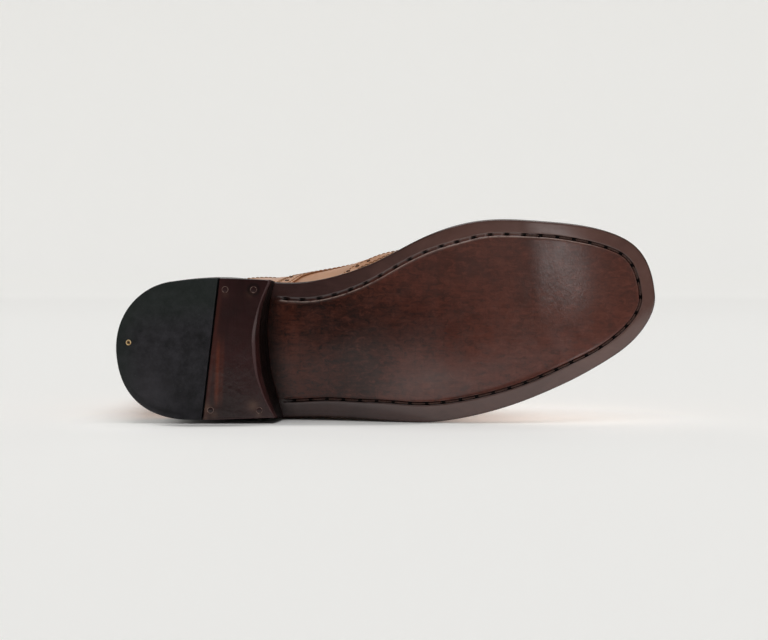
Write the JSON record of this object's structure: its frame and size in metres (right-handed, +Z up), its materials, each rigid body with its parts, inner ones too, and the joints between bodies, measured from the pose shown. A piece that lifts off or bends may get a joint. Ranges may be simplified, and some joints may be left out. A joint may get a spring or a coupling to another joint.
{
  "type": "brogue boot",
  "caption": "Ankle-high lace-up leather brogue boot with a leather sole and stacked heel, lying on its lateral side so that the sole faces outwards.",
  "frame": {"origin": "middle of the bounding box, on the floor that the boot lies on", "axes": "+X from heel to toe, +Z up to the medial side, +Y from the sole to the collar, so the sole faces -Y"},
  "size_m": [0.3004, 0.164, 0.113],
  "materials": {
    "sole_leather": "polished dark red-brown sole leather",
    "heel_leather": "waxed dark brown stacked leather",
    "heel_rubber": "matt black rubber",
    "brass_nail": "worn brass",
    "heel_nail": "nail heads waxed over with the leather",
    "insole_leather": "natural insole leather",
    "upper_leather": "tan calf leather, softly polished",
    "lace_cord": "waxed round cotton lace",
    "eyelet_brass": "antique brass"
  },
  "bodies": {
    "root": {"outsole": "sole_leather", "heel_stack": "heel_leather", "top_piece_leather": "heel_leather", "top_piece_rubber": "heel_rubber", "heel_nail_back": "brass_nail", "insole": "insole_leather", "upper": "upper_leather", "tongue": "upper_leather", "laces": "lace_cord", "heel_nail_front_medial": "heel_nail", "heel_nail_rear_medial": "heel_nail", "heel_nail_front_lateral": "heel_nail", "heel_nail_rear_lateral": "heel_nail", "eyelet_medial_1": "eyelet_brass", "eyelet_lateral_1": "eyelet_brass", "eyelet_medial_2": "eyelet_brass", "eyelet_lateral_2": "eyelet_brass", "eyelet_medial_3": "eyelet_brass", "eyelet_lateral_3": "eyelet_brass", "eyelet_medial_4": "eyelet_brass", "eyelet_lateral_4": "eyelet_brass", "eyelet_medial_5": "eyelet_brass", "eyelet_lateral_5": "eyelet_brass", "eyelet_medial_6": "eyelet_brass", "eyelet_lateral_6": "eyelet_brass"}
  },
  "joints": []
}
